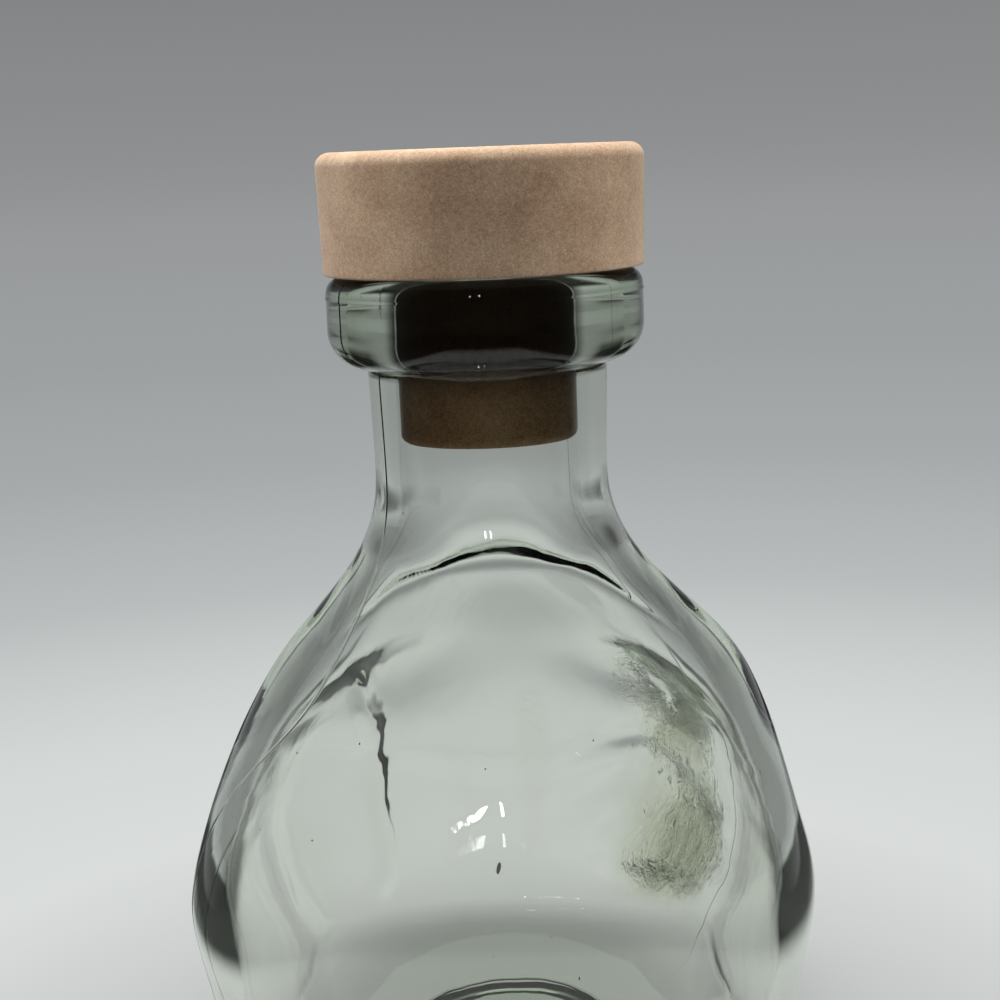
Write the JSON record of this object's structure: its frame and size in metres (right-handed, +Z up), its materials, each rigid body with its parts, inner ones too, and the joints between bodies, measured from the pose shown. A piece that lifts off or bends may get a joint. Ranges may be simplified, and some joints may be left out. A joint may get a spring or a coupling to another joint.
{
  "type": "decanter",
  "caption": "Square-bodied clear glass decanter with hollow corner shoulders, a round beaded neck and a push-in stopper that lifts out to pour or fill.",
  "frame": {"origin": "centre of the base, on the plane the decanter stands on", "axes": "+Z up along the neck's axis, +X and +Y square to two of the four faces, -Y the pictured side"},
  "size_m": [0.1002, 0.1002, 0.1573],
  "materials": {
    "clear_glass": "clear moulded glass, smooth and slightly wavy",
    "tan_composite": "fine-grained tan cork composite, matt"
  },
  "bodies": {
    "glass": {"decanter_glass": "clear_glass"},
    "stopper": {"stopper_head": "tan_composite", "stopper_shank": "tan_composite"}
  },
  "joints": [
    {"name": "stopper_lift", "type": "slide", "parent": "glass", "child": "stopper", "axis": [0, 0, 1], "range_m": [0, 0.045]}
  ]
}
